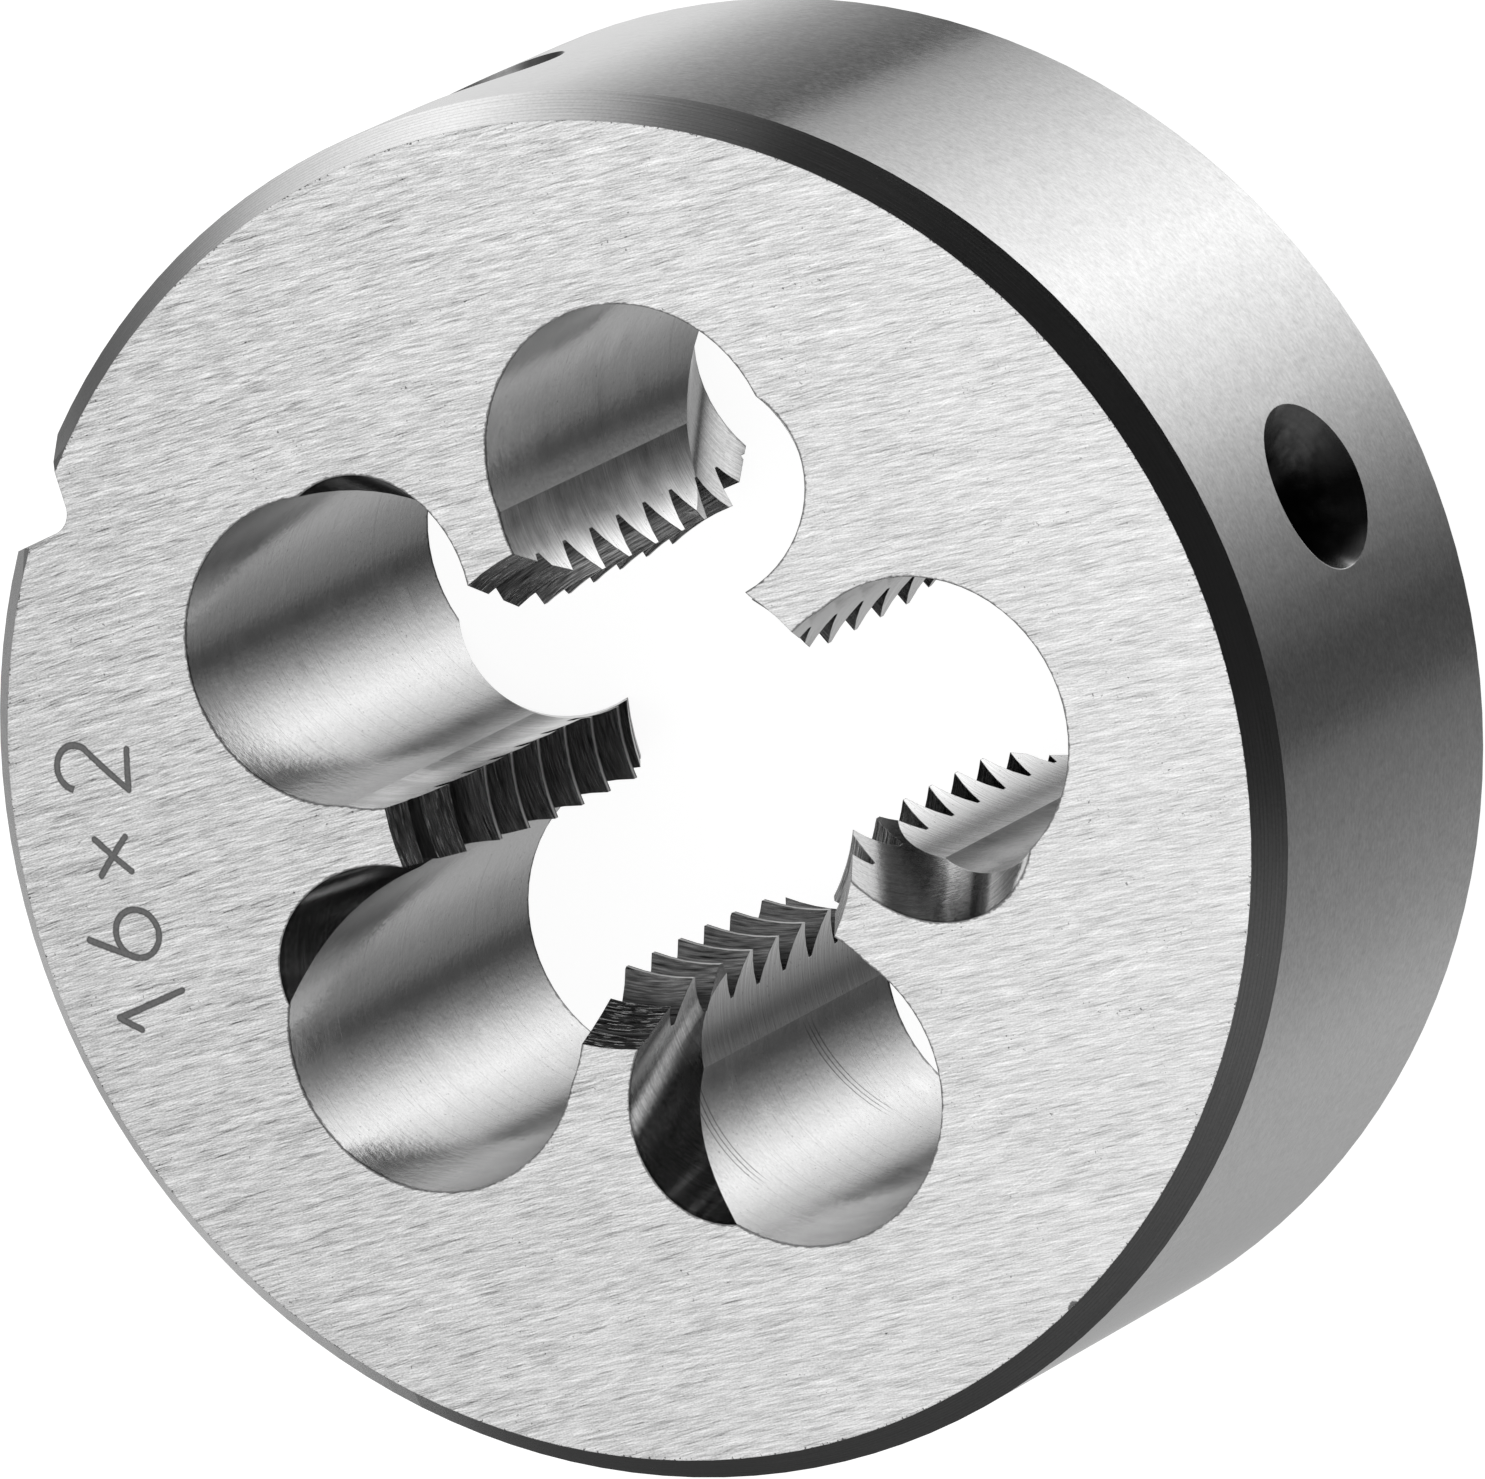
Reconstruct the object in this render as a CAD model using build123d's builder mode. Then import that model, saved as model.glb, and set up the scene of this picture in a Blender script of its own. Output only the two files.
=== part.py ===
from build123d import *
from math import cos, radians, sin, tan
import os

# Round threading die for an M16 x 2 right-hand thread: one ground piece, closed, not split.
# Millimetres, +Z up. The origin is the centre of the plain face that the die lies on, the
# marked face is on top, and the locating notch in the rim faces -Y.

# Body
outer_diameter = 45.0
thickness = 18.0
rim_chamfer_across = 0.735
rim_chamfer_along = 1.2
notch_azimuth = -90.0

# Thread: crests are narrow flats, roots are almost sharp
pitch = 2.0
flank_angle = 30.0
crest_radius = 6.71
root_radius = 8.04
crest_flat = pitch / 8
root_height_at_notch = 0.8

# Lead-in at each end of every land: part of a cone whose axis stands aside from the die's, so
# that the surface falls away behind the cutting edge
lead_mouth_radius = 8.32
lead_half_angle = 25.0
lead_relief_offset = 0.5

# Chip holes: a large bore and a smaller one nearer the axis, which makes the rake faces
hole_count = 5
hole_radius = 5.04
hole_pitch_radius = 10.89
rake_radius = 4.65
rake_pitch_radius = 9.78

# Leaning pockets in front of the lead-in teeth, one at each end of every chip hole. The pocket's
# axis crosses the face at a distance along the hole's radial line and at another to its side.
pocket_radius = 3.46
pocket_along = 10.14
pocket_aside = 2.35
pocket_lean = 28.8
pocket_lean_azimuth = -46.6
pocket_length = 7.4
pocket_overrun = 4.0

# Locating notch: a V with a rounded root, through the whole thickness
notch_root_radius = 20.73
notch_rounding = 0.75
notch_half_angle = 47.5
notch_mouth_radius = 24.0

# Screw dimples: cones sunk into the rim at mid-thickness; the radius is the cone's in the plane
# that touches the rim
dimple_angles = (46.5, 133.5, -46.5, -133.5)
dimple_radius = 2.95
dimple_half_angle = 45.0

# How far a cutting shape passes the surface that it opens through
cut_clearance = 0.15

outer_radius = outer_diameter / 2
mid_height = thickness / 2
hole_spacing = 360 / hole_count
hole_azimuths = [notch_azimuth + k * hole_spacing for k in range(hole_count)]
land_azimuths = [azimuth + hole_spacing / 2 for azimuth in hole_azimuths]


def around(radius, azimuth, height=0.0):
    """The point at a radius and an azimuth about the die's axis."""
    return Vector(radius * cos(radians(azimuth)), radius * sin(radians(azimuth)), height)


def both_ends(azimuths):
    """Places for a shape made at azimuth 0 of the marked face: at each azimuth of that face,
    and turned over about the same radial line at the plain face."""
    places = []
    for azimuth in azimuths:
        places.append(Location((0, 0, 0), (0, 0, azimuth)))
        places.append(Location((0, 0, thickness), (180, 0, -azimuth)))
    return places


# One tooth gap: the thread groove from the axis of one chip hole to that of the next, so that
# it crosses one cutting land and both of its ends are in the open
inner_radius = crest_radius - cut_clearance
mean_radius = (crest_radius + root_radius) / 2
crest_half_width = (pitch - crest_flat) / 2
inner_half_width = crest_half_width + cut_clearance * tan(radians(flank_angle))
root_half_width = crest_half_width - (root_radius - crest_radius) * tan(radians(flank_angle))
rise_per_land = pitch / hole_count

with BuildPart() as tooth_gap:
    with BuildLine():
        gap_helix = Helix(pitch, rise_per_land, mean_radius)
    with BuildSketch(Plane.XZ):
        with BuildLine():
            Polyline(
                (inner_radius, -inner_half_width),
                (root_radius, -root_half_width),
                (root_radius, root_half_width),
                (inner_radius, inner_half_width),
                close=True,
            )
        make_face()
    sweep(path=gap_helix, is_frenet=True)

tooth_gap_places = []
for k, hole_azimuth in enumerate(hole_azimuths):
    height = root_height_at_notch + k * rise_per_land - pitch
    while height < thickness + pitch:
        tooth_gap_places.append(Location((0, 0, height), (0, 0, hole_azimuth)))
        height += pitch

# One lead-in: an arc of the cone, from inside the bore to just above the face, wide enough to
# end in the chip holes on both sides of the land
lead_depth = (lead_mouth_radius - crest_radius + cut_clearance) / tan(radians(lead_half_angle))
lead_half_arc = 0.4 * hole_spacing
lead_axis = Axis((0, -lead_relief_offset, 0), (0, 0, 1))
lead_section = Plane(
    origin=lead_axis.position,
    x_dir=around(1, -lead_half_arc),
    z_dir=around(1, -lead_half_arc - 90),
)

with BuildPart() as lead_in:
    with BuildSketch(lead_section):
        with BuildLine():
            Polyline(
                (inner_radius, thickness - lead_depth),
                (lead_mouth_radius, thickness),
                (lead_mouth_radius, thickness + cut_clearance),
                (0, thickness + cut_clearance),
                (0, thickness - lead_depth),
                close=True,
            )
        make_face()
    revolve(axis=lead_axis, revolution_arc=2 * lead_half_arc)

# One pocket: a leaning bore with a flat floor
pocket_axis = around(sin(radians(pocket_lean)), pocket_lean_azimuth, cos(radians(pocket_lean)))
pocket_floor = Vector(pocket_along, -pocket_aside, thickness) - pocket_axis * pocket_length

with BuildPart() as pocket:
    with BuildSketch(Plane(origin=pocket_floor, z_dir=pocket_axis)):
        Circle(pocket_radius)
    extrude(amount=pocket_length + pocket_overrun)

with BuildPart() as threading_die:
    # Blank: a section through the axis with both rim chamfers, turned once round
    with BuildSketch(Plane.XZ):
        with BuildLine():
            Polyline(
                (crest_radius, 0),
                (outer_radius - rim_chamfer_across, 0),
                (outer_radius, rim_chamfer_along),
                (outer_radius, thickness - rim_chamfer_along),
                (outer_radius - rim_chamfer_across, thickness),
                (crest_radius, thickness),
                close=True,
            )
        make_face()
    revolve(axis=Axis.Z)

    # Chip holes, straight through
    with BuildSketch():
        with PolarLocations(hole_pitch_radius, hole_count, start_angle=notch_azimuth):
            Circle(hole_radius)
        with PolarLocations(rake_pitch_radius, hole_count, start_angle=notch_azimuth):
            Circle(rake_radius)
    extrude(amount=thickness, mode=Mode.SUBTRACT)

    # Thread, lead-ins and pockets
    with Locations(*tooth_gap_places):
        add(tooth_gap.part, mode=Mode.SUBTRACT)
    with Locations(*both_ends(land_azimuths)):
        add(lead_in.part, mode=Mode.SUBTRACT)
    with Locations(*both_ends(hole_azimuths)):
        add(pocket.part, mode=Mode.SUBTRACT)

    # Locating notch
    notch_apex = notch_root_radius + notch_rounding - notch_rounding / sin(radians(notch_half_angle))
    notch_half_width = (notch_mouth_radius - notch_apex) * tan(radians(notch_half_angle))
    with BuildSketch(Plane(origin=(0, 0, 0), x_dir=around(1, notch_azimuth), z_dir=(0, 0, 1))):
        with BuildLine():
            Polyline(
                (notch_apex, 0),
                (notch_mouth_radius, -notch_half_width),
                (notch_mouth_radius, notch_half_width),
                close=True,
            )
        make_face()
        fillet(vertices().sort_by_distance((0, 0, 0))[0], notch_rounding)
    extrude(amount=thickness, mode=Mode.SUBTRACT)

    # Screw dimples: each cone reaches a little past the rim
    dimple_depth = dimple_radius / tan(radians(dimple_half_angle))
    for dimple_angle in dimple_angles:
        azimuth = notch_azimuth + dimple_angle
        point = around(outer_radius - dimple_depth, azimuth, mid_height)
        with Locations(Plane(origin=point, z_dir=around(1, azimuth))):
            Cone(
                0,
                dimple_radius + cut_clearance * tan(radians(dimple_half_angle)),
                dimple_depth + cut_clearance,
                align=(Align.CENTER, Align.CENTER, Align.MIN),
                mode=Mode.SUBTRACT,
            )

threading_die.part.label = "threading_die"
os.makedirs("parts", exist_ok=True)
export_step(threading_die.part, "parts/threading_die.step")
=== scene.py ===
import bpy
import numpy as np
from math import cos, pi, radians, sin
from mathutils import Matrix, Vector


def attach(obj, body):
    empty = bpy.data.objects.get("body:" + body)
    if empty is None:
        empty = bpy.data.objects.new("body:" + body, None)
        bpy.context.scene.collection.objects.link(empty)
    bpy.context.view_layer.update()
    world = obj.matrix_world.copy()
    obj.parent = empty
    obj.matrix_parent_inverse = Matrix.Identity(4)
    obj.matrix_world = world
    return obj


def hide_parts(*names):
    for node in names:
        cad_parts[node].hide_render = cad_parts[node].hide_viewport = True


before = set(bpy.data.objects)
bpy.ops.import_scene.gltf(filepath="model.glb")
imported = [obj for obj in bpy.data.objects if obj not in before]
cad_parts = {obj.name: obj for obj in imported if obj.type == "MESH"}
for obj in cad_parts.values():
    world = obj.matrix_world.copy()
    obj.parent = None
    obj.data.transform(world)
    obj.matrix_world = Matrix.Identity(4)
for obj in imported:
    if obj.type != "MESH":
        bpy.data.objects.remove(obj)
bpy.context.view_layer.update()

# Sizes of the die that the finishes follow, in millimetres and degrees
THICKNESS = 18.0
NOTCH_AZIMUTH = -90.0
HOLE_COUNT = 5
HOLE_AZIMUTHS = [NOTCH_AZIMUTH + 360 / HOLE_COUNT * k for k in range(HOLE_COUNT)]
WALL_RADIUS = 5.04
WALL_PITCH_RADIUS = 10.89
RAKE_RADIUS = 4.65
RAKE_PITCH_RADIUS = 9.78
POCKET_RADIUS = 3.46
POCKET_ALONG = 10.14
POCKET_ASIDE = 2.35
POCKET_LEAN = 28.8
POCKET_LEAN_AZIMUTH = -46.6
POCKET_SHORTEST = 6.0
POCKET_LONGEST = 9.0
DIMPLE_AZIMUTHS = [NOTCH_AZIMUTH + angle for angle in (46.5, 133.5, -46.5, -133.5)]
DIMPLE_RADIUS = 2.95
CREST_RADIUS = 6.71
PITCH = 2.0
CREST_HEIGHT_AT_NOTCH = 1.8
THREAD_RADIUS = 7.0
LEAD_IN_RADIUS = 7.5
LEAD_IN_DEPTH = 4.0
RIM_RADIUS = 22.5
GRIND_AZIMUTH = 126.8
GRIND_BEND = 0.001
COARSE_AZIMUTH = -70.0
EDGE_ROUNDING = 0.04

# Distances from the axis, in millimetres, that part one finish from the next
POCKETS_BEYOND = 6.0
LEAD_INS_WITHIN = 8.6
DIMPLES_BEYOND = 18.0
NOTCH_BEYOND = 20.5
CHAMFERS_BEYOND = 21.7
RIM_BEYOND = 22.3

# How near a corner lies to the circle that it belongs to, how far the middles of a pocket wall's
# triangles lie inside it, and how far out its floor's may lie, in millimetres
SNUG = 0.02
POCKET_CHORD = 0.03
POCKET_FLOORS_WITHIN = 3.6

# How far triangles face up or down, or from the axis, as parts of their unit normals
WALLS_UNDER = 0.05
FLATS_OVER = 0.999
LEAD_IN_SLOPES = (0.35, 0.5)
CHAMFER_SLOPES = (0.3, 0.8)
POCKET_WALLS_UNDER = 0.08
POCKET_FLOORS_OVER = 0.98
BORES_FACE_IN = 0.9
CRESTS_FACE_IN = 0.97
RIM_FACES_OUT = 0.98
DIMPLES_FACE_OUT = 0.96

# The marked face's outer edge is a little off centre: its radius grows by EDGE_SWAY towards
# SWAY_AZIMUTH. A nick stands in it.
FACE_RADIUS = 21.765
EDGE_SHIFT = -0.0625
EDGE_SWAY = 0.0875
SWAY_AZIMUTH = 150.5
NICK_PLACE = (8.82, 19.94)
NICK_RADIUS = 0.24

# Spiral scores in the front chip hole: millimetres along the axis per millimetre round it, and start
SCORES = ((.178, 14.07), (.477, 3.81))
SCORE_SPACING = 0.30

# Lathe feed on the rim chamfers, in millimetres along the axis
TURNING_FEED = 0.125

# Size numbers 16 x 2, plain strokes on an arc about the axis: millimetres along its base line and up
NUMBER_RADIUS = 17.4
NUMBER_AZIMUTH = -43.0
NUMBER_HEIGHT = 2.5
STROKE = 0.24
ONE = (((0, NUMBER_HEIGHT), (0, 0)), ((0, NUMBER_HEIGHT), (-.55, 1.95)))
SIX_STEM = (((1.44, 1.02), (2.35, NUMBER_HEIGHT)),)
SIX_BOWL = (2.15, .76)
SIX_BOWL_RADIUS = 0.76
TIMES = (((4.1, .35), (5.2, 1.45)), ((4.1, 1.45), (5.2, .35)))
TWO_FOOT = (((7.92, 1.50), (6.72, 0)), ((6.72, 0), (8.05, 0)))
TWO_HOOK = (7.35, 1.84)
TWO_HOOK_RADIUS = 0.66
TWO_HOOK_OPENS = 66.0

# Camera: a long lens, placed in metres
CAMERA_PLACE = (-0.28207, 0.241379, 0.709362)
CAMERA_RIGHT = (-0.306574, 0.855128, -0.418052)
CAMERA_UP = (-0.882785, -0.419684, -0.211084)
CAMERA_AZIMUTH = 139.4
LENS_MM = 601.33
SENSOR_MM = 36.0


class Value:
    """A socket of a node tree; arithmetic on it adds Math nodes."""

    def __init__(self, sheet, socket):
        self.sheet = sheet
        self.socket = socket

    def math(self, operation, *others):
        inputs = dict(enumerate((self, *others)))
        return self.sheet.node("ShaderNodeMath", {"operation": operation}, inputs)

    def __add__(self, other):
        return self.math("ADD", other)

    def __sub__(self, other):
        return self.math("SUBTRACT", other)

    def __rsub__(self, other):
        return self.sheet.node("ShaderNodeMath", {"operation": "SUBTRACT"}, {0: other, 1: self})

    def __mul__(self, other):
        return self.math("MULTIPLY", other)

    def __truediv__(self, other):
        return self.math("DIVIDE", other)

    __radd__ = __add__
    __rmul__ = __mul__

    def between(self, low, high):
        """0 below low, 1 above high, smooth from one to the other; high may be under low."""
        settings = {"interpolation_type": "SMOOTHSTEP"}
        if low < high:
            return self.sheet.node("ShaderNodeMapRange", settings, {0: self, 1: low, 2: high})
        return self.sheet.node("ShaderNodeMapRange", settings, {0: self, 1: high, 2: low, 3: 1, 4: 0})


def span(a, b):
    """The distance whose two sides are a and b."""
    return (a * a + b * b).math("SQRT")


def reach_towards(x, y, azimuth):
    """How far x and y reach towards an azimuth."""
    return x * cos(radians(azimuth)) + y * sin(radians(azimuth))


def grey(level):
    return (level, level, level, 1)


class Sheet:
    """A node tree that is written as expressions."""

    def __init__(self, tree):
        self.tree = tree
        tree.nodes.clear()

    def node(self, kind, settings=None, inputs=None, output=0):
        """A node of that kind, its settings first, then the values or links of its sockets."""
        made = self.tree.nodes.new(kind)
        for name, value in (settings or {}).items():
            if name == "stops":
                self.set_stops(made.color_ramp.elements, value)
            else:
                setattr(made, name, value)
        for name, value in (inputs or {}).items():
            if isinstance(value, Value):
                self.tree.links.new(value.socket, made.inputs[name])
            else:
                made.inputs[name].default_value = value
        return Value(self, made.outputs[output]) if made.outputs else made

    def set_stops(self, elements, stops):
        elements.remove(elements[0])
        elements[0].position = stops[0][0]
        for place, _ in stops[1:]:
            elements.new(place)
        for element, (_, level) in zip(elements, stops):
            element.color = grey(level)

    def ramp(self, value, stops):
        """A number from 0 to 1 turned into a grey by stops of (place, level)."""
        return self.node("ShaderNodeValToRGB", {"stops": stops}, {0: value})

    def split(self, vector, axes="XYZ"):
        """The parts of a vector."""
        return [self.node("ShaderNodeSeparateXYZ", None, {0: vector}, axis) for axis in axes]

    def dot(self, vector, way):
        """How far a vector reaches along a way."""
        return self.node("ShaderNodeVectorMath", {"operation": "DOT_PRODUCT"}, {0: vector, 1: way}, "Value")

    def millimetres(self):
        """Where the surface lies on the die: x, y and z in millimetres."""
        place = self.node("ShaderNodeTexCoord", output="Object")
        return [part * 1000 for part in self.split(place)]

    def below_face(self):
        """Millimetres from the nearer flat face."""
        return THICKNESS / 2 - (self.millimetres()[2] - THICKNESS / 2).math("ABSOLUTE")

    def machined(self):
        """Millimetres along the tool marks and across them."""
        place = self.node("ShaderNodeUVMap", {"uv_map": "machining"})
        return self.split(place, "XY")

    def streaks(self, along, across, length, width, seed, detail=2.0, turn=0.0):
        """Lines of that length and width in millimetres, turned by degrees, a grey about 0.5."""
        if turn:
            c, s = cos(radians(turn)), sin(radians(turn))
            along, across = along * c + across * s, across * c - along * s
        vector = self.node("ShaderNodeCombineXYZ", None, {0: along / length, 1: across / width, 2: seed})
        return self.node("ShaderNodeTexNoise", None, {"Vector": vector, "Scale": 1.0, "Detail": detail})

    def mottle(self, size, seed, detail=3.0):
        """Clouds of that size in millimetres, a grey about 0.5."""
        place = self.node("ShaderNodeTexCoord", output="Object")
        inputs = {"Vector": place, "W": seed, "Scale": 1000 / size, "Detail": detail}
        return self.node("ShaderNodeTexNoise", {"noise_dimensions": "4D"}, inputs)

    def steel(self, tone, roughness, height, depth):
        """Ends the sheet as bare steel, with that relief so many micrometres deep."""
        edge = self.node("ShaderNodeBevel", {"samples": 4}, {"Radius": EDGE_ROUNDING / 1000})
        relief = {"Distance": depth * 1e-6, "Height": height, "Normal": edge}
        relief = self.node("ShaderNodeBump", None, relief)
        inputs = {"Base Color": tone, "Metallic": 1.0, "Roughness": roughness, "Normal": relief}
        shader = self.node("ShaderNodeBsdfPrincipled", None, inputs)
        self.node("ShaderNodeOutputMaterial", None, {0: shader})


def sheet_of(owner):
    """The empty sheet of a material or of the world."""
    owner.use_nodes = True
    return Sheet(owner.node_tree)


def camera():
    right = Vector(CAMERA_RIGHT).normalized()
    up = Vector(CAMERA_UP).normalized()
    back = right.cross(up)
    data = bpy.data.cameras.new("camera")
    data.lens = LENS_MM
    data.sensor_width = SENSOR_MM
    data.clip_start = 0.01
    data.clip_end = 10.0
    holder = bpy.data.objects.new("camera", data)
    turn = Matrix((right, up, back)).transposed().to_4x4()
    holder.matrix_world = Matrix.Translation(CAMERA_PLACE) @ turn
    bpy.context.scene.collection.objects.link(holder)
    bpy.context.scene.camera = holder


# Studio, as steel sees it: brightness by azimuth, in turns from -180 degrees. The sweep lies below the
# eye, the wall stands level with the die, a soft box hangs where the top face mirrors the camera, and a
# backdrop glows low down on every side but the camera's. Pairs are where one gives way to the next, as
# sines of the elevation or cosines of an angle.
SWEEP = ((0.0, 1.5), (.06, 1.15), (.088, .92), (.115, .72), (.142, .52), (.154, .42), (.162, .13),
         (.175, .14), (.20, .25), (.23, .42), (.257, .66), (.285, .84), (.343, .80), (.40, .74),
         (.425, .46), (.463, .42), (.49, .43), (.546, .48), (.60, .50), (.632, .44), (.66, .355),
         (.69, .30), (.746, .20), (.757, .175), (.768, .10), (.80, .08), (.83, .18), (.86, .316),
         (.888, .53), (.915, .82), (.946, 1.15), (1.0, 1.5))
WALL = ((0.0, .015), (.071, .04), (.11, .21), (.146, .90), (.179, 1.55), (.213, 1.2), (.238, .88),
        (.256, .50), (.272, .27), (.30, .155), (.312, .15), (.324, .28), (.370, .44), (.383, .66),
        (.389, .42), (.397, .60), (.403, .72), (.413, .56), (.4203, .50), (.4286, .18),
        (.4378, .10), (.45, .06), (.482, .05), (.56, .065), (.674, .11), (.713, .135), (.749, .12),
        (.79, .035), (.83, .014), (.90, .012), (1.0, .015))
BOX_AZIMUTH = -40.55
BOX_ELEVATION = 62.07
BOX_DISTANCE = 0.25
BOX_HALF = 0.15
BOX_GLOW = 1.02
BOX_GLOW_PER_METRE = (6.0, 5.0)
HALO = (.72, .86)
HALO_GLOW = .9
WALL_TO_CEILING = (-.02, .25)
WALL_TO_SWEEP = (-.76, -.86)
CEILING_GLOW = .09
CEILING_SLOPE = .14
CEILING_LIT_AZIMUTH = -80
CEILING_LEAST = .01
BACKDROP_FOOT = (.19, .29)
BACKDROP_TOP = (.48, .40)
BACKDROP_SIDES = (.80, .45)
BACKDROP_GLOW = .8

# The paper that the die lies on: its half width and its depth below the die in metres, its grey and
# glow as the camera sees it, and its grey as the light sees it
PAPER_HALF = 2.0
PAPER_LOW = 0.00001
PAPER_GREY = .25
PAPER_GLOW = .93
PAPER_WHITE = .8


def box_way():
    """The way from the die to the soft box."""
    flat = cos(radians(BOX_ELEVATION))
    x = flat * cos(radians(BOX_AZIMUTH))
    y = flat * sin(radians(BOX_AZIMUTH))
    return Vector((x, y, sin(radians(BOX_ELEVATION))))


def studio():
    world = bpy.data.worlds.new("studio")
    sheet = sheet_of(world)
    ray = sheet.node("ShaderNodeTexCoord", output="Generated")
    x, y, z = sheet.split(ray)
    turns = y.math("ARCTAN2", x) / (2 * pi) + 0.5
    facing = sheet.dot(ray, box_way())
    above = z.between(*WALL_TO_CEILING)
    below = z.between(*WALL_TO_SWEEP)
    ceiling = reach_towards(x, y, CEILING_LIT_AZIMUTH) * CEILING_SLOPE + CEILING_GLOW
    ceiling = ceiling.math("MAXIMUM", CEILING_LEAST)
    behind = reach_towards(x, y, CAMERA_AZIMUTH).between(*BACKDROP_SIDES)
    backdrop = z.between(*BACKDROP_FOOT) * z.between(*BACKDROP_TOP) * behind * BACKDROP_GLOW
    box = facing.between(*HALO) * HALO_GLOW + ceiling + backdrop
    wall = sheet.ramp(turns, WALL)
    sweep = sheet.ramp(turns, SWEEP)
    level = wall + (box - wall) * above
    seen = level + (sweep - level) * below
    room = sheet.node("ShaderNodeBackground", None, {0: seen, 1: 1.0})
    plain = sheet.node("ShaderNodeBackground", None, {0: grey(1), 1: 1.0})
    glossy = sheet.node("ShaderNodeLightPath", output="Is Glossy Ray")
    mixed = sheet.node("ShaderNodeMixShader", None, {0: glossy, 1: plain, 2: room})
    sheet.node("ShaderNodeOutputWorld", None, {0: mixed})
    bpy.context.scene.world = world


def soft_box():
    """A glowing card, seen only in the steel, brighter towards one side."""
    away = box_way()
    side = Vector(CAMERA_RIGHT)
    side = (side - away * side.dot(away)).normalized()
    rise = away.cross(side)
    centre = away * BOX_DISTANCE
    signs = ((-1, -1), (1, -1), (1, 1), (-1, 1))
    corners = [centre + side * BOX_HALF * a + rise * BOX_HALF * b for a, b in signs]
    mesh = bpy.data.meshes.new("soft_box")
    mesh.from_pydata(corners, [], [(0, 1, 2, 3)])
    card = bpy.data.objects.new("soft_box", mesh)
    material = bpy.data.materials.new("soft_box_glow")
    sheet = sheet_of(material)
    place = sheet.node("ShaderNodeTexCoord", output="Object")
    aside = sheet.dot(place, side) * BOX_GLOW_PER_METRE[0]
    above = sheet.dot(place, rise) * BOX_GLOW_PER_METRE[1]
    bright = (aside + above + BOX_GLOW).math("MAXIMUM", .1)
    glow = sheet.node("ShaderNodeEmission", None, {0: bright, 1: 1.0})
    sheet.node("ShaderNodeOutputMaterial", None, {0: glow})
    mesh.materials.append(material)
    bpy.context.scene.collection.objects.link(card)
    card.visible_camera = card.visible_diffuse = card.visible_shadow = False


def floor():
    """White paper under the die, left out of what the steel mirrors."""
    mesh = bpy.data.meshes.new("floor")
    signs = ((-1, -1), (1, -1), (1, 1), (-1, 1))
    corners = [(PAPER_HALF * a, PAPER_HALF * b, -PAPER_LOW) for a, b in signs]
    mesh.from_pydata(corners, [], [(0, 1, 2, 3)])
    sheet_floor = bpy.data.objects.new("floor", mesh)
    material = bpy.data.materials.new("white_paper")
    sheet = sheet_of(material)
    paper = sheet.node("ShaderNodeBsdfDiffuse", None, {0: grey(PAPER_GREY)})
    glow = sheet.node("ShaderNodeEmission", None, {0: grey(1), 1: PAPER_GLOW})
    lit = sheet.node("ShaderNodeAddShader", None, {0: paper, 1: glow})
    white = sheet.node("ShaderNodeBsdfDiffuse", None, {0: grey(PAPER_WHITE)})
    seen = sheet.node("ShaderNodeLightPath", output="Is Camera Ray")
    both = sheet.node("ShaderNodeMixShader", None, {0: seen, 1: white, 2: lit})
    sheet.node("ShaderNodeOutputMaterial", None, {0: both})
    mesh.materials.append(material)
    bpy.context.scene.collection.objects.link(sheet_floor)
    sheet_floor.visible_glossy = False


# Finishes, each on its own sheet
def beside_holes(sheet):
    """On a flat face: millimetres from the outline of the nearest chip hole or pocket."""
    x, y, z = sheet.millimetres()
    upside = (z - THICKNESS / 2).math("SIGN")
    half = radians(180 / HOLE_COUNT)
    turn = (y.math("ARCTAN2", x) - radians(NOTCH_AZIMUTH)).math("WRAP", half, -half)
    out = span(x, y) * turn.math("COSINE")
    aside = span(x, y) * turn.math("SINE") * upside
    wall = span(out - WALL_PITCH_RADIUS, aside) - WALL_RADIUS
    rake = span(out - RAKE_PITCH_RADIUS, aside) - RAKE_RADIUS
    c, s = cos(radians(POCKET_LEAN_AZIMUTH)), sin(radians(POCKET_LEAN_AZIMUTH))
    out, aside = out - POCKET_ALONG, aside + POCKET_ASIDE
    leaning = (out * c + aside * s) * cos(radians(POCKET_LEAN))
    pocket = span(leaning, aside * c - out * s) - POCKET_RADIUS
    return wall.math("MINIMUM", rake).math("MINIMUM", pocket)


def from_line(across, up, first, last):
    """Millimetres from the line between two points."""
    run = (last[0] - first[0], last[1] - first[1])
    across, up = across - first[0], up - first[1]
    share = (across * run[0] + up * run[1]) / (run[0] ** 2 + run[1] ** 2)
    share = share.math("MAXIMUM", 0.0).math("MINIMUM", 1.0)
    return span(across - share * run[0], up - share * run[1])


def from_numbers(sheet):
    """On the marked face: millimetres from the middle of the nearest stroke of 16 x 2."""
    x, y, z = sheet.millimetres()
    across = (y.math("ARCTAN2", x) - radians(NUMBER_AZIMUTH)) * -NUMBER_RADIUS
    up = span(x, y) - NUMBER_RADIUS
    bowl = span(across - SIX_BOWL[0], up - SIX_BOWL[1]) - SIX_BOWL_RADIUS
    hook_across, hook_up = across - TWO_HOOK[0], up - TWO_HOOK[1]
    hook = span(hook_across, hook_up) - TWO_HOOK_RADIUS
    open_side = reach_towards(hook_across, hook_up, TWO_HOOK_OPENS).math("LESS_THAN", -.16)
    nearest = bowl.math("ABSOLUTE").math("MINIMUM", hook.math("ABSOLUTE") + open_side)
    for first, last in ONE + SIX_STEM + TIMES + TWO_FOOT:
        nearest = nearest.math("MINIMUM", from_line(across, up, first, last))
    return nearest + (THICKNESS - z)


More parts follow.
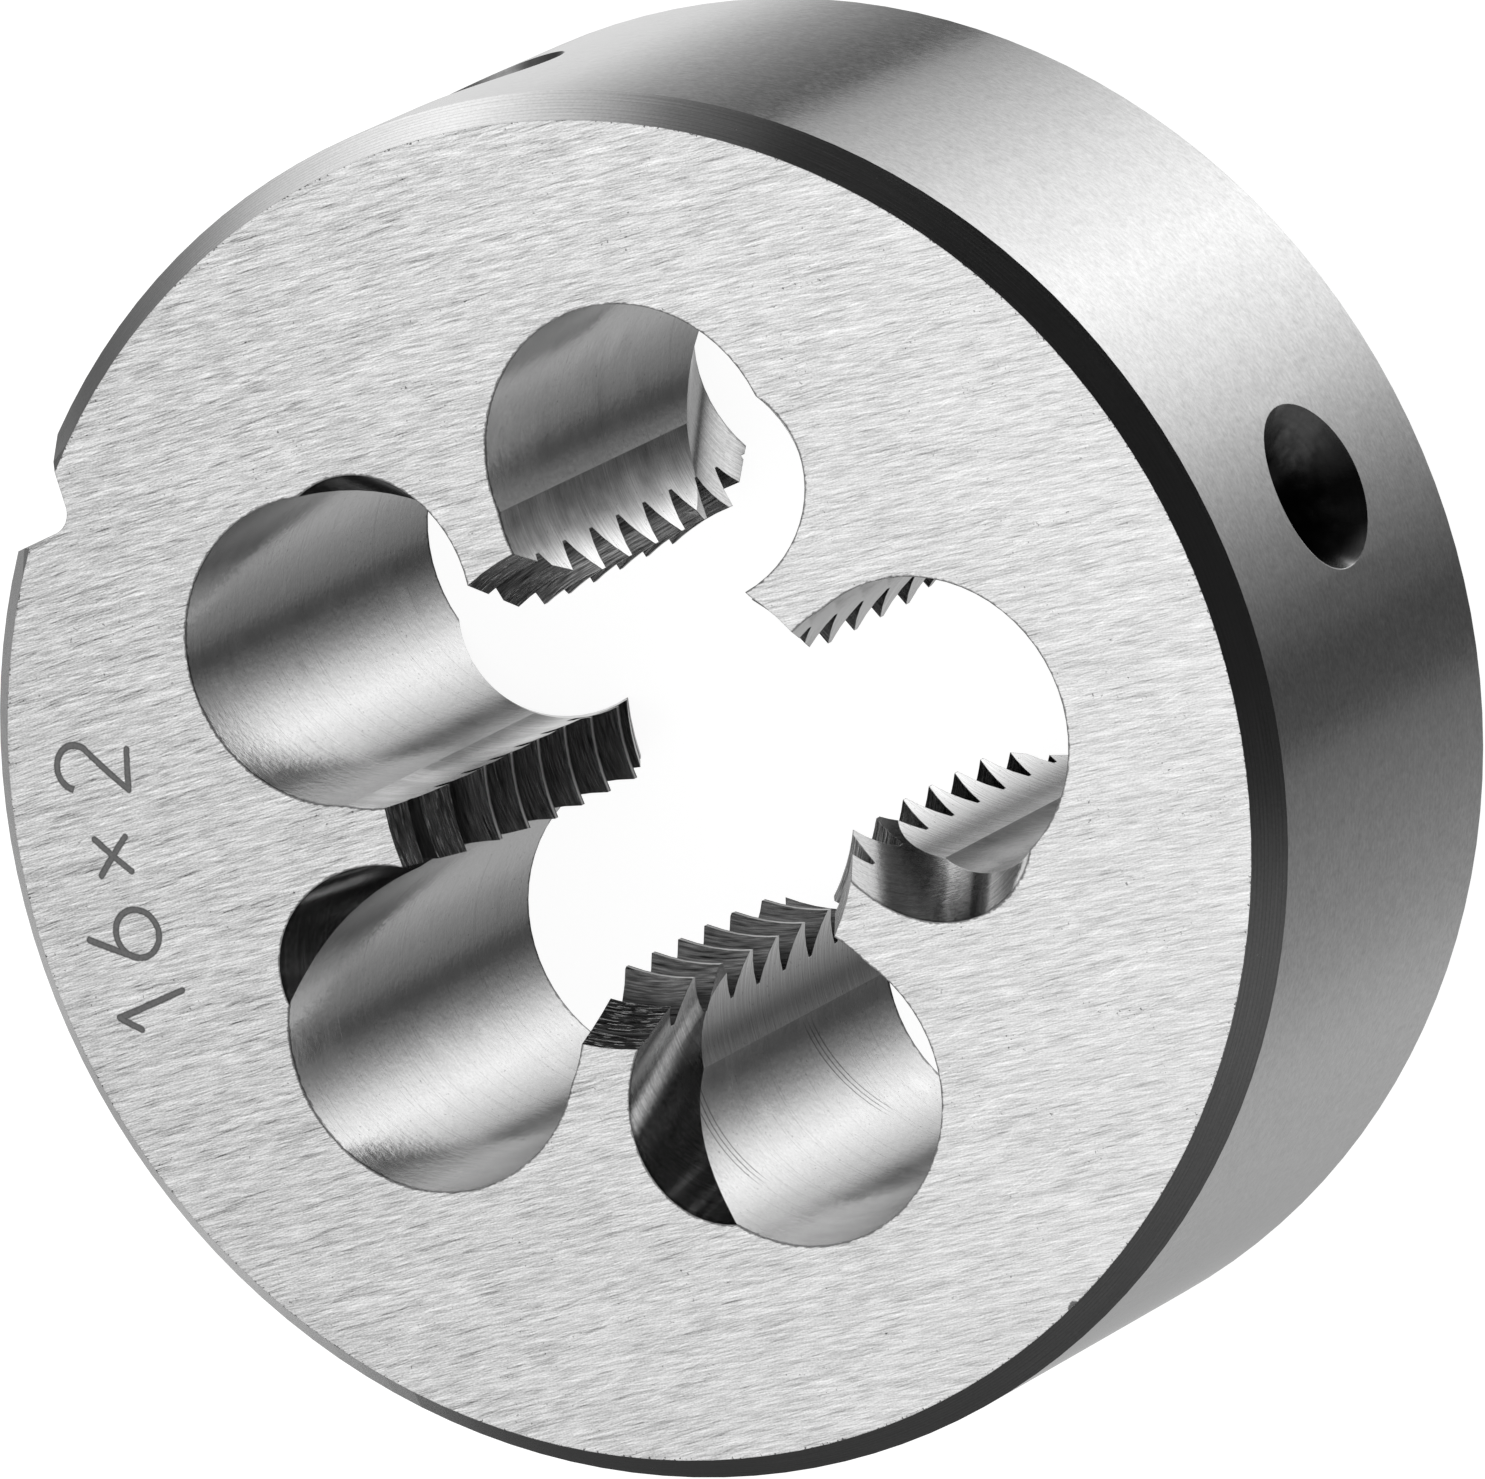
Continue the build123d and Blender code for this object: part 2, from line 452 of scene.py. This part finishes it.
def grinding(sheet):
    """Flat faces: the tone of crossing hairlines and scratches, coarser towards one side, and the two
    sets of lines that roughness and relief follow."""
    along, across = sheet.machined()
    across = across + along * along * GRIND_BEND
    x, y, z = sheet.millimetres()
    coarse = reach_towards(x, y, COARSE_AZIMUTH) * .013 + 1.10
    broad = sheet.streaks(along, across, 4.6, .15, seed=1.3, detail=1.0)
    lines = sheet.streaks(along, across, 2.3, .058, seed=4.1, detail=1.0, turn=2.0)
    fine = sheet.streaks(along, across, .95, .036, seed=7.7, detail=0.0, turn=-5.0)
    cross = sheet.streaks(along, across, .50, .036, seed=9.2, detail=0.0, turn=10.0)
    speckle = sheet.mottle(.075, seed=3.0, detail=1.0)
    grain = (broad - .5) * .38 + (lines - .5) * .62 + (fine - .5) * .60 + (cross - .5) * .50
    grain = (grain + (speckle - .5) * .55) * coarse
    scratches = sheet.streaks(along, across, 1.2, .05, seed=12.5, detail=0.0, turn=5.0).between(.36, .26)
    light = sheet.streaks(along, across, 7.0, .07, seed=15.0, detail=0.0, turn=24.0).between(.72, .80)
    tone = grain * .62 + .63 - scratches * coarse * .16 + light * .08
    return tone, lines - .5, fine - .5


def damage_and_shade(sheet):
    """The marked face: 1 in the nick and past the ragged outer edge, 0 elsewhere; the face is darkened
    there as painted shade.
    """
    x, y, z = sheet.millimetres()
    ragged = sheet.mottle(.12, seed=9.0) - .5
    nick = span(x - NICK_PLACE[0], y - NICK_PLACE[1]) + ragged * .25
    nick = nick.between(NICK_RADIUS + .03, NICK_RADIUS - .03)
    sway = reach_towards(x, y, SWAY_AZIMUTH) * (EDGE_SWAY / FACE_RADIUS)
    inside = sway + (FACE_RADIUS + EDGE_SHIFT) - span(x, y)
    return nick.math("MAXIMUM", (inside + ragged * .9).between(-.03, -.08))


def ground_face(sheet):
    """Flat faces: grinding lines, pits, a nick and a ragged outer edge darkened with painted shade, a dark
    line of painted shade along the broken edges of the holes and pockets, and the size numbers.
    """
    tone, lines, fine = grinding(sheet)
    pitted = sheet.mottle(1.6, seed=5.0, detail=1.0).between(.46, .62)
    pits = sheet.mottle(.11, seed=2.0, detail=2.0).between(.66, .74) * pitted
    # Painted shade darkens the nick and the ragged outer edge
    tone = (tone - pits * .38) * (1 - damage_and_shade(sheet) * .8)
    # Painted shade: a thin dark line along the outlines of the holes and pockets
    edge = (beside_holes(sheet) + (sheet.mottle(.16, seed=6.0) - .5) * .16).between(.07, .02)
    off = from_numbers(sheet) + (sheet.mottle(.13, seed=8.0) - .5) * .06
    mark = off.between(STROKE / 2 + .015, STROKE / 2 - .035)
    sides = off.between(STROKE / 2 - .08, STROKE / 2 - .03)
    etched = (sheet.mottle(.10, seed=1.0) - .5) * .14 + .16 - sides * .05
    tone = tone * (1 - edge * .7) * (1 - mark) + etched * mark
    roughness = lines * .12 + .32 + pits * .2 + mark * .12
    sheet.steel(tone, roughness, lines * .6 + fine * .8, 1.5)


def ground_rim(sheet):
    """The rim: a close satin grain with faint lines round it."""
    around, up = sheet.machined()
    lines = sheet.streaks(around, up, .9, .05, seed=2.2)
    grain = sheet.streaks(around, up, .20, .15, seed=6.0, detail=1.0)
    cloud = sheet.mottle(.5, seed=4.0, detail=4.0)
    grain = (lines - .5) * .35 + (grain - .5) * 1.3
    tone = grain * .24 + (cloud - .5) * .24 + .62
    sheet.steel(tone, (cloud - .5) * .08 + grain * .07 + .13, grain, 1.3)


def turned_chamfer(sheet):
    """Both rim chamfers: grooves round them from the lathe, small nicks."""
    around, across = sheet.machined()
    feed = across / TURNING_FEED + sheet.streaks(around, across, 30.0, .4, seed=3.0, detail=1.0) * .9
    groove = (feed.math("FRACT") - .5).math("ABSOLUTE").between(.26, .48)
    fine = sheet.streaks(around, across, 3.0, .04, seed=8.0)
    speckle = sheet.mottle(.10, seed=5.0, detail=2.0)
    nicks = sheet.mottle(.15, seed=7.0, detail=1.0).between(.73, .81)
    grain = groove * -1.1 + (fine - .5) * .8 + (speckle - .5) * .5
    tone = (fine - .5) * .26 + (speckle - .5) * .20 + .60 - groove * .08
    sheet.steel(tone + nicks * .1, (fine - .5) * .1 + .17 + nicks * .1, grain, 1.2)


def milled_notch(sheet):
    """The locating notch."""
    along, across = sheet.machined()
    lines = sheet.streaks(along, across, 2.0, .06, seed=1.0)
    sheet.steel((lines - .5) * .2 + .6, lines * .1 + .25, lines, 2.0)


def broken_edge_shade(sheet):
    """1 where a wall meets a flat face in a fine ragged edge, 0 elsewhere; the walls darken there with
    painted shade.
    """
    return (sheet.below_face() + (sheet.mottle(.20, seed=6.0) - .5) * .36).between(.15, .06)


def spiral_scores(sheet, around, up):
    """Two groups of spiral lines that the drill left in the front chip hole."""
    x, y, z = sheet.millimetres()
    groups = None
    for climb, start in SCORES:
        off = up + around * climb - start
        line = ((off / SCORE_SPACING).math("FRACT") - .5).math("ABSOLUTE").between(.30, .46)
        line = line * off.math("ABSOLUTE").between(.42, .32)
        groups = groups.math("MAXIMUM", line) if groups else line
    ends = around.between(-5.6, -4.6) * around.between(-1.0, -2.0)
    return groups * ends * x.between(.5, 1.0) * y.between(3.0, 3.5)


def painted_wall_shade(sheet, around, up):
    """Chip hole walls: 1 on a stretch of painted shade that faces the same way in every hole, .6 for
    painted shade low down on the far side.
    """
    turn = around / WALL_RADIUS
    longer = sheet.millimetres()[1].between(-5.0, -6.0) * .30
    shade_stretch = turn.between(.0, .22) * (turn - longer).between(.92, .62)
    far = (turn + .61).math("ABSOLUTE").between(1.60, 1.75) * up.between(9.5, 6.0)
    return shade_stretch.math("MAXIMUM", far * .6)


def drilled_wall(sheet):
    """Chip holes: fine rings and a few deeper ones, ripples, stains, specks, and painted shade on part of
    the wall and along its broken edges.
    """
    around, up = sheet.machined()
    rings = sheet.streaks(around, up, 2.2, .07, seed=5.0)
    fine = sheet.streaks(around, up, .5, .035, seed=9.0)
    scored = sheet.streaks(around, up, 40.0, 1.1, seed=12.0, detail=0.0) - .56
    scored = scored.math("ABSOLUTE").between(.008, .003)
    ripple = sheet.mottle(.25, seed=4.0, detail=2.0)
    cloud = sheet.mottle(1.3, seed=8.0, detail=5.0)
    stain = sheet.mottle(2.2, seed=11.0, detail=5.0).between(.50, .68)
    specks = sheet.mottle(.09, seed=3.0, detail=1.0).between(.69, .76)
    speckle = sheet.mottle(.09, seed=9.0, detail=1.0)
    grain = (rings - .5) * .5 + (fine - .5) * .4 - scored * .25 + (ripple - .5) * 2.6
    tone = (rings - .5) * .09 + (fine - .5) * .12 + (speckle - .5) * .16 + .65
    # Painted shade on part of each wall, clouded
    wall_shade = painted_wall_shade(sheet, around, up)
    tone = tone + (cloud - .5) * (stain * .6 + wall_shade * .35 + .14)
    spiral = spiral_scores(sheet, around, up)
    tone = (tone - specks * .30 - scored * .05 - spiral * .34) * (1 - wall_shade * .42)
    dull = (cloud - .5) * .16 + (fine - .5) * .08 + .19
    # Painted shade along the broken edges at the top and bottom of the wall
    sheet.steel(tone * (1 - broken_edge_shade(sheet) * .7), dull, grain - spiral * .7, 3.0)


def ground_rake(sheet):
    """Rake faces: concave, rings across the cutting edge."""
    around, up = sheet.machined()
    rings = sheet.streaks(around, up, 5.0, .10, seed=2.0)
    fine = sheet.streaks(around, up, 1.0, .036, seed=4.0)
    specks = sheet.mottle(.10, seed=3.0, detail=1.0).between(.67, .74)
    grain = (rings - .5) * .9 + (fine - .5) * .9
    by_notch = sheet.millimetres()[1].between(-5.0, -6.0)
    cloud = sheet.mottle(1.3, seed=8.0, detail=5.0) - .5
    tone = (grain * .66 + .83 - specks * .4) * (1 - by_notch * (cloud + .42))
    # Painted shade along the broken edges at the top and bottom of the rake face
    sheet.steel(tone * (1 - broken_edge_shade(sheet) * .6), (fine - .5) * .12 + .18, grain, 2.4)


def bored_pocket(sheet):
    """Leaning pockets: rings about their own axis."""
    around, deep = sheet.machined()
    rings = sheet.streaks(around, deep, 3.0, .06, seed=7.0)
    speckle = sheet.mottle(.12, seed=5.0)
    grain = (rings - .5) * .9 + (speckle - .5) * .7
    tone = grain * .55 + .46
    # Painted shade along the broken edge at the pocket's mouth
    sheet.steel(tone * (1 - broken_edge_shade(sheet) * .5), (speckle - .5) * .14 + .12, grain, 2.0)


def cut_thread(sheet):
    """Thread flanks: sharp dark and light lines along the thread, and painted shade that darkens them
    towards the roots.
    """
    around, up = sheet.machined()
    lines = sheet.streaks(around, up, 2.4, .05, seed=6.0, detail=3.0)
    fine = sheet.streaks(around, up, .7, .028, seed=8.0, detail=1.0)
    x, y, z = sheet.millimetres()
    # Painted shade in the thread roots: 1 out by the crests, 0 in the roots
    clear = (span(x, y) + (lines - .5) * .5).between(7.65, 7.15)
    grain = (lines - .5) * 1.3 + (fine - .5) * 1.2
    tone = (grain * .9 + .44) * (clear * .68 + .32)
    sheet.steel(tone.math("MAXIMUM", .03), (fine - .5) * .1 + .20, grain, 2.5)


def painted_highlight_crest(sheet):
    """Crests: dark flats with a painted highlight along the middle."""
    around, off = sheet.machined()
    lines = sheet.streaks(around, off, .35, .5, seed=5.0, detail=2.0)
    # Painted highlight: a bright stripe along the middle of each crest
    bright = (off.math("ABSOLUTE") + (lines - .5) * .12).between(.085, .05)
    sheet.steel(bright * .62 + .14 + (lines - .5) * .3, .30, lines, 2.0)


def turned_lead_in(sheet):
    """Lead-in cones: coarse turned lines with bright flecks."""
    around, up = sheet.machined()
    lines = sheet.streaks(around, up, 1.6, .10, seed=3.0)
    fine = sheet.streaks(around, up, .6, .035, seed=8.0, detail=1.0)
    flecks = sheet.streaks(around, up, .7, .07, seed=11.0, detail=1.0).between(.56, .66)
    grain = (lines - .5) * 1.6 + (fine - .5) * .8
    sheet.steel(grain * .6 + .34 + flecks * .5, grain * .12 + .24, grain * .6 + flecks * .8, 6.0)


def drilled_dimple(sheet):
    """Screw dimples: rings round the cone, darker and clouded in the depth, a painted highlight at the
    outer edge on one side, and painted shade over the half of the cone from the middle towards that side.
    """
    aside, up = sheet.machined()
    radius = span(aside, up)
    rings = sheet.streaks(up.math("ARCTAN2", aside), radius, 1.2, .10, seed=4.0)
    cloud = sheet.mottle(.45, seed=6.0, detail=4.0)
    speckle = sheet.mottle(.14, seed=9.0, detail=2.0)
    # Darker and clouded towards the depth of the cone
    lighter_outwards = (radius + (cloud - .5) * 1.4).between(1.2, 2.5)
    grain = (rings - .5) * .9 + (cloud - .5) * .8
    tone = (cloud - .5) * .25 + (rings - .5) * .20 + (speckle - .5) * .20 + .42
    # Painted highlight: a bright patch at the outer edge on one side
    painted_highlight = radius.between(2.2, 2.9) * aside.between(1.6, 2.4)
    # Painted shade: the half of the cone from the middle towards that side, save the highlight
    painted_shade = aside.between(-.9, .4) * .85 * (1 - painted_highlight)
    tone = (tone + painted_highlight * .45) * (lighter_outwards * .85 + .15) * (1 - painted_shade)
    sheet.steel(tone, (cloud - .5) * .10 + .25, grain, 3.0)


FINISHES = [ground_face, ground_rim, turned_chamfer, milled_notch, drilled_wall, ground_rake,
            bored_pocket, cut_thread, painted_highlight_crest, turned_lead_in, drilled_dimple]


def material_of(finish):
    material = bpy.data.materials.get(finish.__name__)
    if material is None:
        material = bpy.data.materials.new(finish.__name__)
        finish(sheet_of(material))
    return material


def direction(azimuth):
    return np.array((cos(radians(azimuth)), sin(radians(azimuth)), 0.0))


def turned_about(points, centre, axis, start, radius):
    """Millimetres round an axis and along it, for the corners of each triangle."""
    side = np.cross(axis, start)
    away = points - centre
    angle = np.arctan2(away @ side, away @ start)
    first = angle[:, :1]
    angle = first + (angle - first + pi) % (2 * pi) - pi
    return np.stack((angle * radius, away @ axis), axis=-1)


UP = np.array((0.0, 0.0, 1.0))


class Faces:
    """The die's triangles, the finish of each, and where its corners lie along and across the tool
    marks. Each rule takes its triangles from the rules before it."""

    def __init__(self, corners, normals):
        self.corners = corners
        self.normals = normals
        self.centres = corners.mean(axis=1)
        x, y = self.centres[:, 0], self.centres[:, 1]
        self.reach = np.hypot(x, y)
        self.outward = (normals[:, 0] * x + normals[:, 1] * y) / np.maximum(self.reach, 1e-6)
        self.lean = np.abs(normals[:, 2])
        self.steep = self.lean < WALLS_UNDER
        self.finish = np.full(len(corners), FINISHES.index(cut_thread))
        self.places = self.about_axis(THREAD_RADIUS)
        self.pockets()
        self.lead_ins()
        self.chip_holes()
        self.crests()
        self.rim()
        self.dimples()
        self.flats()

    def leaning(self, slopes):
        return (self.lean > slopes[0]) & (self.lean < slopes[1])

    def give(self, chosen, kind, where):
        self.finish[chosen] = FINISHES.index(kind)
        self.places[chosen] = where[chosen]

    def about_axis(self, radius):
        return turned_about(self.corners, np.zeros(3), UP, direction(NOTCH_AZIMUTH), radius)

    def pockets(self):
        for azimuth in HOLE_AZIMUTHS:
            for top in (True, False):
                self.pocket(azimuth, top)

    def pocket(self, azimuth, top):
        mirror = 1 if top else -1
        lean_way = direction(azimuth + mirror * POCKET_LEAN_AZIMUTH) * sin(radians(POCKET_LEAN))
        axis = lean_way + UP * mirror * cos(radians(POCKET_LEAN))
        mouth = direction(azimuth) * POCKET_ALONG - direction(azimuth + 90) * POCKET_ASIDE * mirror
        mouth = mouth + UP * (THICKNESS if top else 0)
        start = np.cross(axis, UP)
        start = start / np.linalg.norm(start)
        away = self.centres - mouth
        deep = away @ axis
        off = np.linalg.norm(away - deep[:, None] * axis, axis=1)
        slope = np.abs(self.normals @ axis)
        near = (np.abs(deep) < POCKET_LONGEST) & ((self.centres[:, 2] > THICKNESS / 2) == top)
        inside = POCKET_RADIUS - off
        wall = (np.abs(inside - POCKET_CHORD) < 2 * POCKET_CHORD) & (slope < POCKET_WALLS_UNDER)
        bottom = (off < POCKET_FLOORS_WITHIN) & (slope > POCKET_FLOORS_OVER) & (deep < -POCKET_SHORTEST)
        where = turned_about(self.corners, mouth, axis, start, POCKET_RADIUS)
        self.give(near & (self.reach > POCKETS_BEYOND) & (wall | bottom), bored_pocket, where)

    def lead_ins(self):
        height = self.centres[:, 2]
        at_ends = (height < LEAD_IN_DEPTH) | (height > THICKNESS - LEAD_IN_DEPTH)
        cone = self.leaning(LEAD_IN_SLOPES) & (self.reach < LEAD_INS_WITHIN) & at_ends
        self.give(cone, turned_lead_in, self.about_axis(LEAD_IN_RADIUS))

    def chip_holes(self):
        for azimuth in HOLE_AZIMUTHS:
            self.bore(direction(azimuth) * WALL_PITCH_RADIUS, WALL_RADIUS, drilled_wall)
            self.bore(direction(azimuth) * RAKE_PITCH_RADIUS, RAKE_RADIUS, ground_rake)

    def bore(self, centre, radius, kind):
        off = np.hypot(self.corners[:, :, 0] - centre[0], self.corners[:, :, 1] - centre[1])
        inward = ((centre - self.centres) * self.normals).sum(axis=1) / radius
        on_wall = (np.abs(off - radius) < SNUG).all(axis=1)
        chosen = self.steep & on_wall & (inward > BORES_FACE_IN)
        self.give(chosen, kind, turned_about(self.corners, centre, UP, direction(0), radius))

    def crests(self):
        reach = np.hypot(self.corners[:, :, 0], self.corners[:, :, 1])
        on_crest = (reach < CREST_RADIUS + SNUG).all(axis=1)
        crest = self.steep & on_crest & (self.outward < -CRESTS_FACE_IN)
        where = self.about_axis(CREST_RADIUS)
        climb = where[:, :, 0] / (2 * pi * CREST_RADIUS) * PITCH + CREST_HEIGHT_AT_NOTCH
        where[:, :, 1] = (where[:, :, 1] - climb + PITCH / 2) % PITCH - PITCH / 2
        self.give(crest, painted_highlight_crest, where)

    def rim(self):
        where = self.about_axis(RIM_RADIUS)
        chamfer = self.leaning(CHAMFER_SLOPES) & (self.reach > CHAMFERS_BEYOND)
        self.give(chamfer, turned_chamfer, where)
        self.give(self.steep & (self.reach > NOTCH_BEYOND), milled_notch, where[:, :, ::-1])
        outside = (self.reach > RIM_BEYOND) & (self.outward > RIM_FACES_OUT)
        self.give(self.steep & outside, ground_rim, where)

    def dimples(self):
        away = self.corners - UP * THICKNESS / 2
        high = away @ UP
        for azimuth in DIMPLE_AZIMUTHS:
            aside = away @ direction(azimuth - 90)
            inside = (np.hypot(aside, high) < DIMPLE_RADIUS + SNUG).all(axis=1)
            inside = inside & (self.centres @ direction(azimuth) > DIMPLES_BEYOND)
            cone = inside & (self.outward < DIMPLES_FACE_OUT)
            self.give(cone, drilled_dimple, np.stack((aside, high), axis=-1))

    def flats(self):
        along = self.corners @ direction(GRIND_AZIMUTH)
        across = self.corners @ direction(GRIND_AZIMUTH + 90)
        self.give(self.lean > FLATS_OVER, ground_face, np.stack((along, across), axis=-1))


def off_centre(points):
    """The points, with the marked face's outer edge moved as its chamfer's width shows."""
    reach = np.hypot(points[:, 0], points[:, 1]) * 1000
    edge = (points[:, 2] * 1000 > THICKNESS - .001) & (np.abs(reach - FACE_RADIUS) < .01)
    azimuth = np.arctan2(points[edge, 1], points[edge, 0])
    new = FACE_RADIUS + EDGE_SHIFT + EDGE_SWAY * np.cos(azimuth - radians(SWAY_AZIMUTH))
    points[edge, :2] *= (new / reach[edge])[:, None]
    return points


def dressed_die():
    """A closed copy of the solid whose faces carry the finish that each was given."""
    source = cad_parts["threading_die"].data
    points = np.array([v.co for v in source.vertices])
    wedges = np.array([p.vertices for p in source.polygons])
    shading = np.array([n.vector for n in source.corner_normals]).reshape(-1, 3, 3)
    _, kept, merged = np.unique(np.round(points, 7), axis=0, return_index=True, return_inverse=True)
    wedges = merged.reshape(-1)[wedges]
    whole = (wedges[:, 0] != wedges[:, 1]) & (wedges[:, 1] != wedges[:, 2]) & (wedges[:, 2] != wedges[:, 0])
    wedges, shading = wedges[whole], shading[whole]
    points = points[kept]
    corners = points[wedges] * 1000
    normals = shading.mean(axis=1)
    normals = normals / np.maximum(np.linalg.norm(normals, axis=1, keepdims=True), 1e-12)
    faces = Faces(corners, normals)
    mesh = bpy.data.meshes.new("die")
    mesh.from_pydata(off_centre(points).tolist(), [], wedges.tolist())
    for kind in FINISHES:
        mesh.materials.append(material_of(kind))
    mesh.polygons.foreach_set("material_index", faces.finish.astype(np.int32))
    mesh.polygons.foreach_set("use_smooth", np.ones(len(wedges), dtype=bool))
    machining = mesh.uv_layers.new(name="machining")
    machining.uv.foreach_set("vector", faces.places.reshape(-1).astype(np.float32))
    mesh.normals_split_custom_set(shading.reshape(-1, 3).tolist())
    die = bpy.data.objects.new("die", mesh)
    bpy.context.scene.collection.objects.link(die)
    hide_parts("threading_die")
    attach(die, "root")


camera()
studio()
soft_box()
floor()
dressed_die()
bpy.context.scene.view_settings.view_transform = "Standard"
